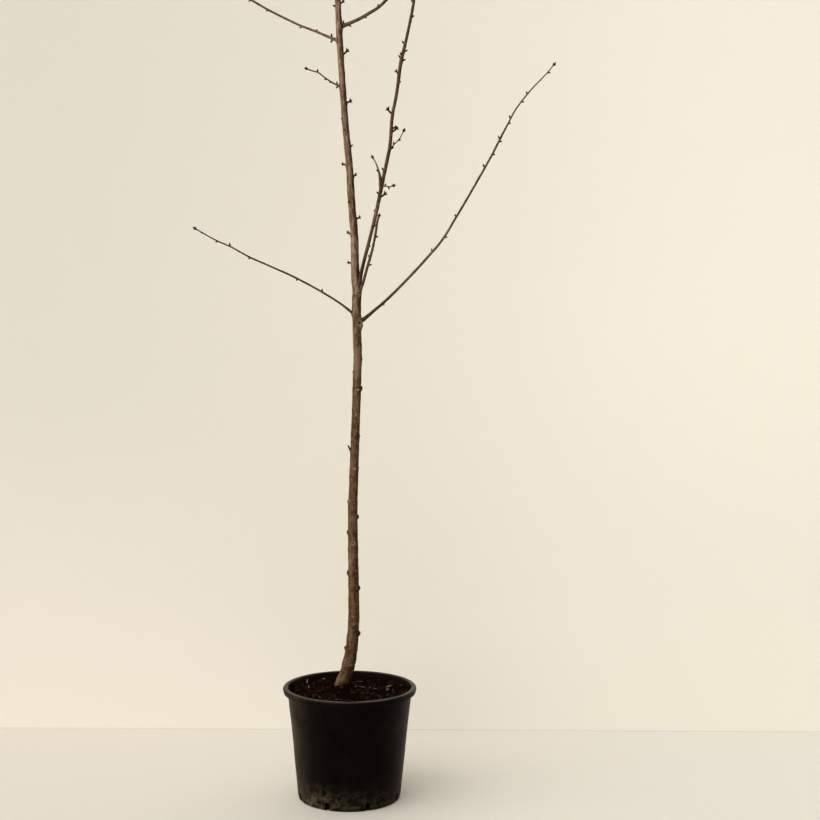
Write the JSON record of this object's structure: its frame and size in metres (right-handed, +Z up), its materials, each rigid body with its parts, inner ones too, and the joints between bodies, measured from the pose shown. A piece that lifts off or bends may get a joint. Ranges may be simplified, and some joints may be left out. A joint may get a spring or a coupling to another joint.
{
  "type": "potted cherry tree",
  "caption": "Young feathered cherry tree, bare in winter, in a round black nursery pot: trunk, long rising boughs and budded twigs.",
  "frame": {"origin": "centre of the pot's flat underside, on the floor", "axes": "+Z up along the tree, +X to the right and +Y to the back as the tree is seen from the front"},
  "size_m": [0.8559, 0.566, 2.3364],
  "materials": {
    "pot": "black moulded plastic, slightly glossy",
    "soil": "dark, damp potting compost",
    "trunk": "young brown bark with lighter pores",
    "bough": "young grey-brown bark",
    "twigs": "thin dark bark and brown buds"
  },
  "bodies": {
    "root": {"pot": "pot", "soil": "soil", "trunk": "trunk", "bough_low_right": "bough", "bough_low_left": "bough", "bough_second_leader": "bough", "bough_upper_left": "bough", "bough_upper_right": "bough", "bough_top_back": "bough", "bough_top_front": "bough", "bough_top_right": "bough", "bough_top_left": "bough", "twigs_low_right": "twigs", "twigs_low_left": "twigs", "twigs_second_leader": "twigs", "twigs_upper_left": "twigs", "twigs_upper_right": "twigs", "twigs_top_back": "twigs", "twigs_top_front": "twigs", "twigs_top_right": "twigs", "twigs_top_left": "twigs", "twigs_fork_shoot": "twigs", "twigs_side_twig": "twigs"}
  },
  "joints": []
}
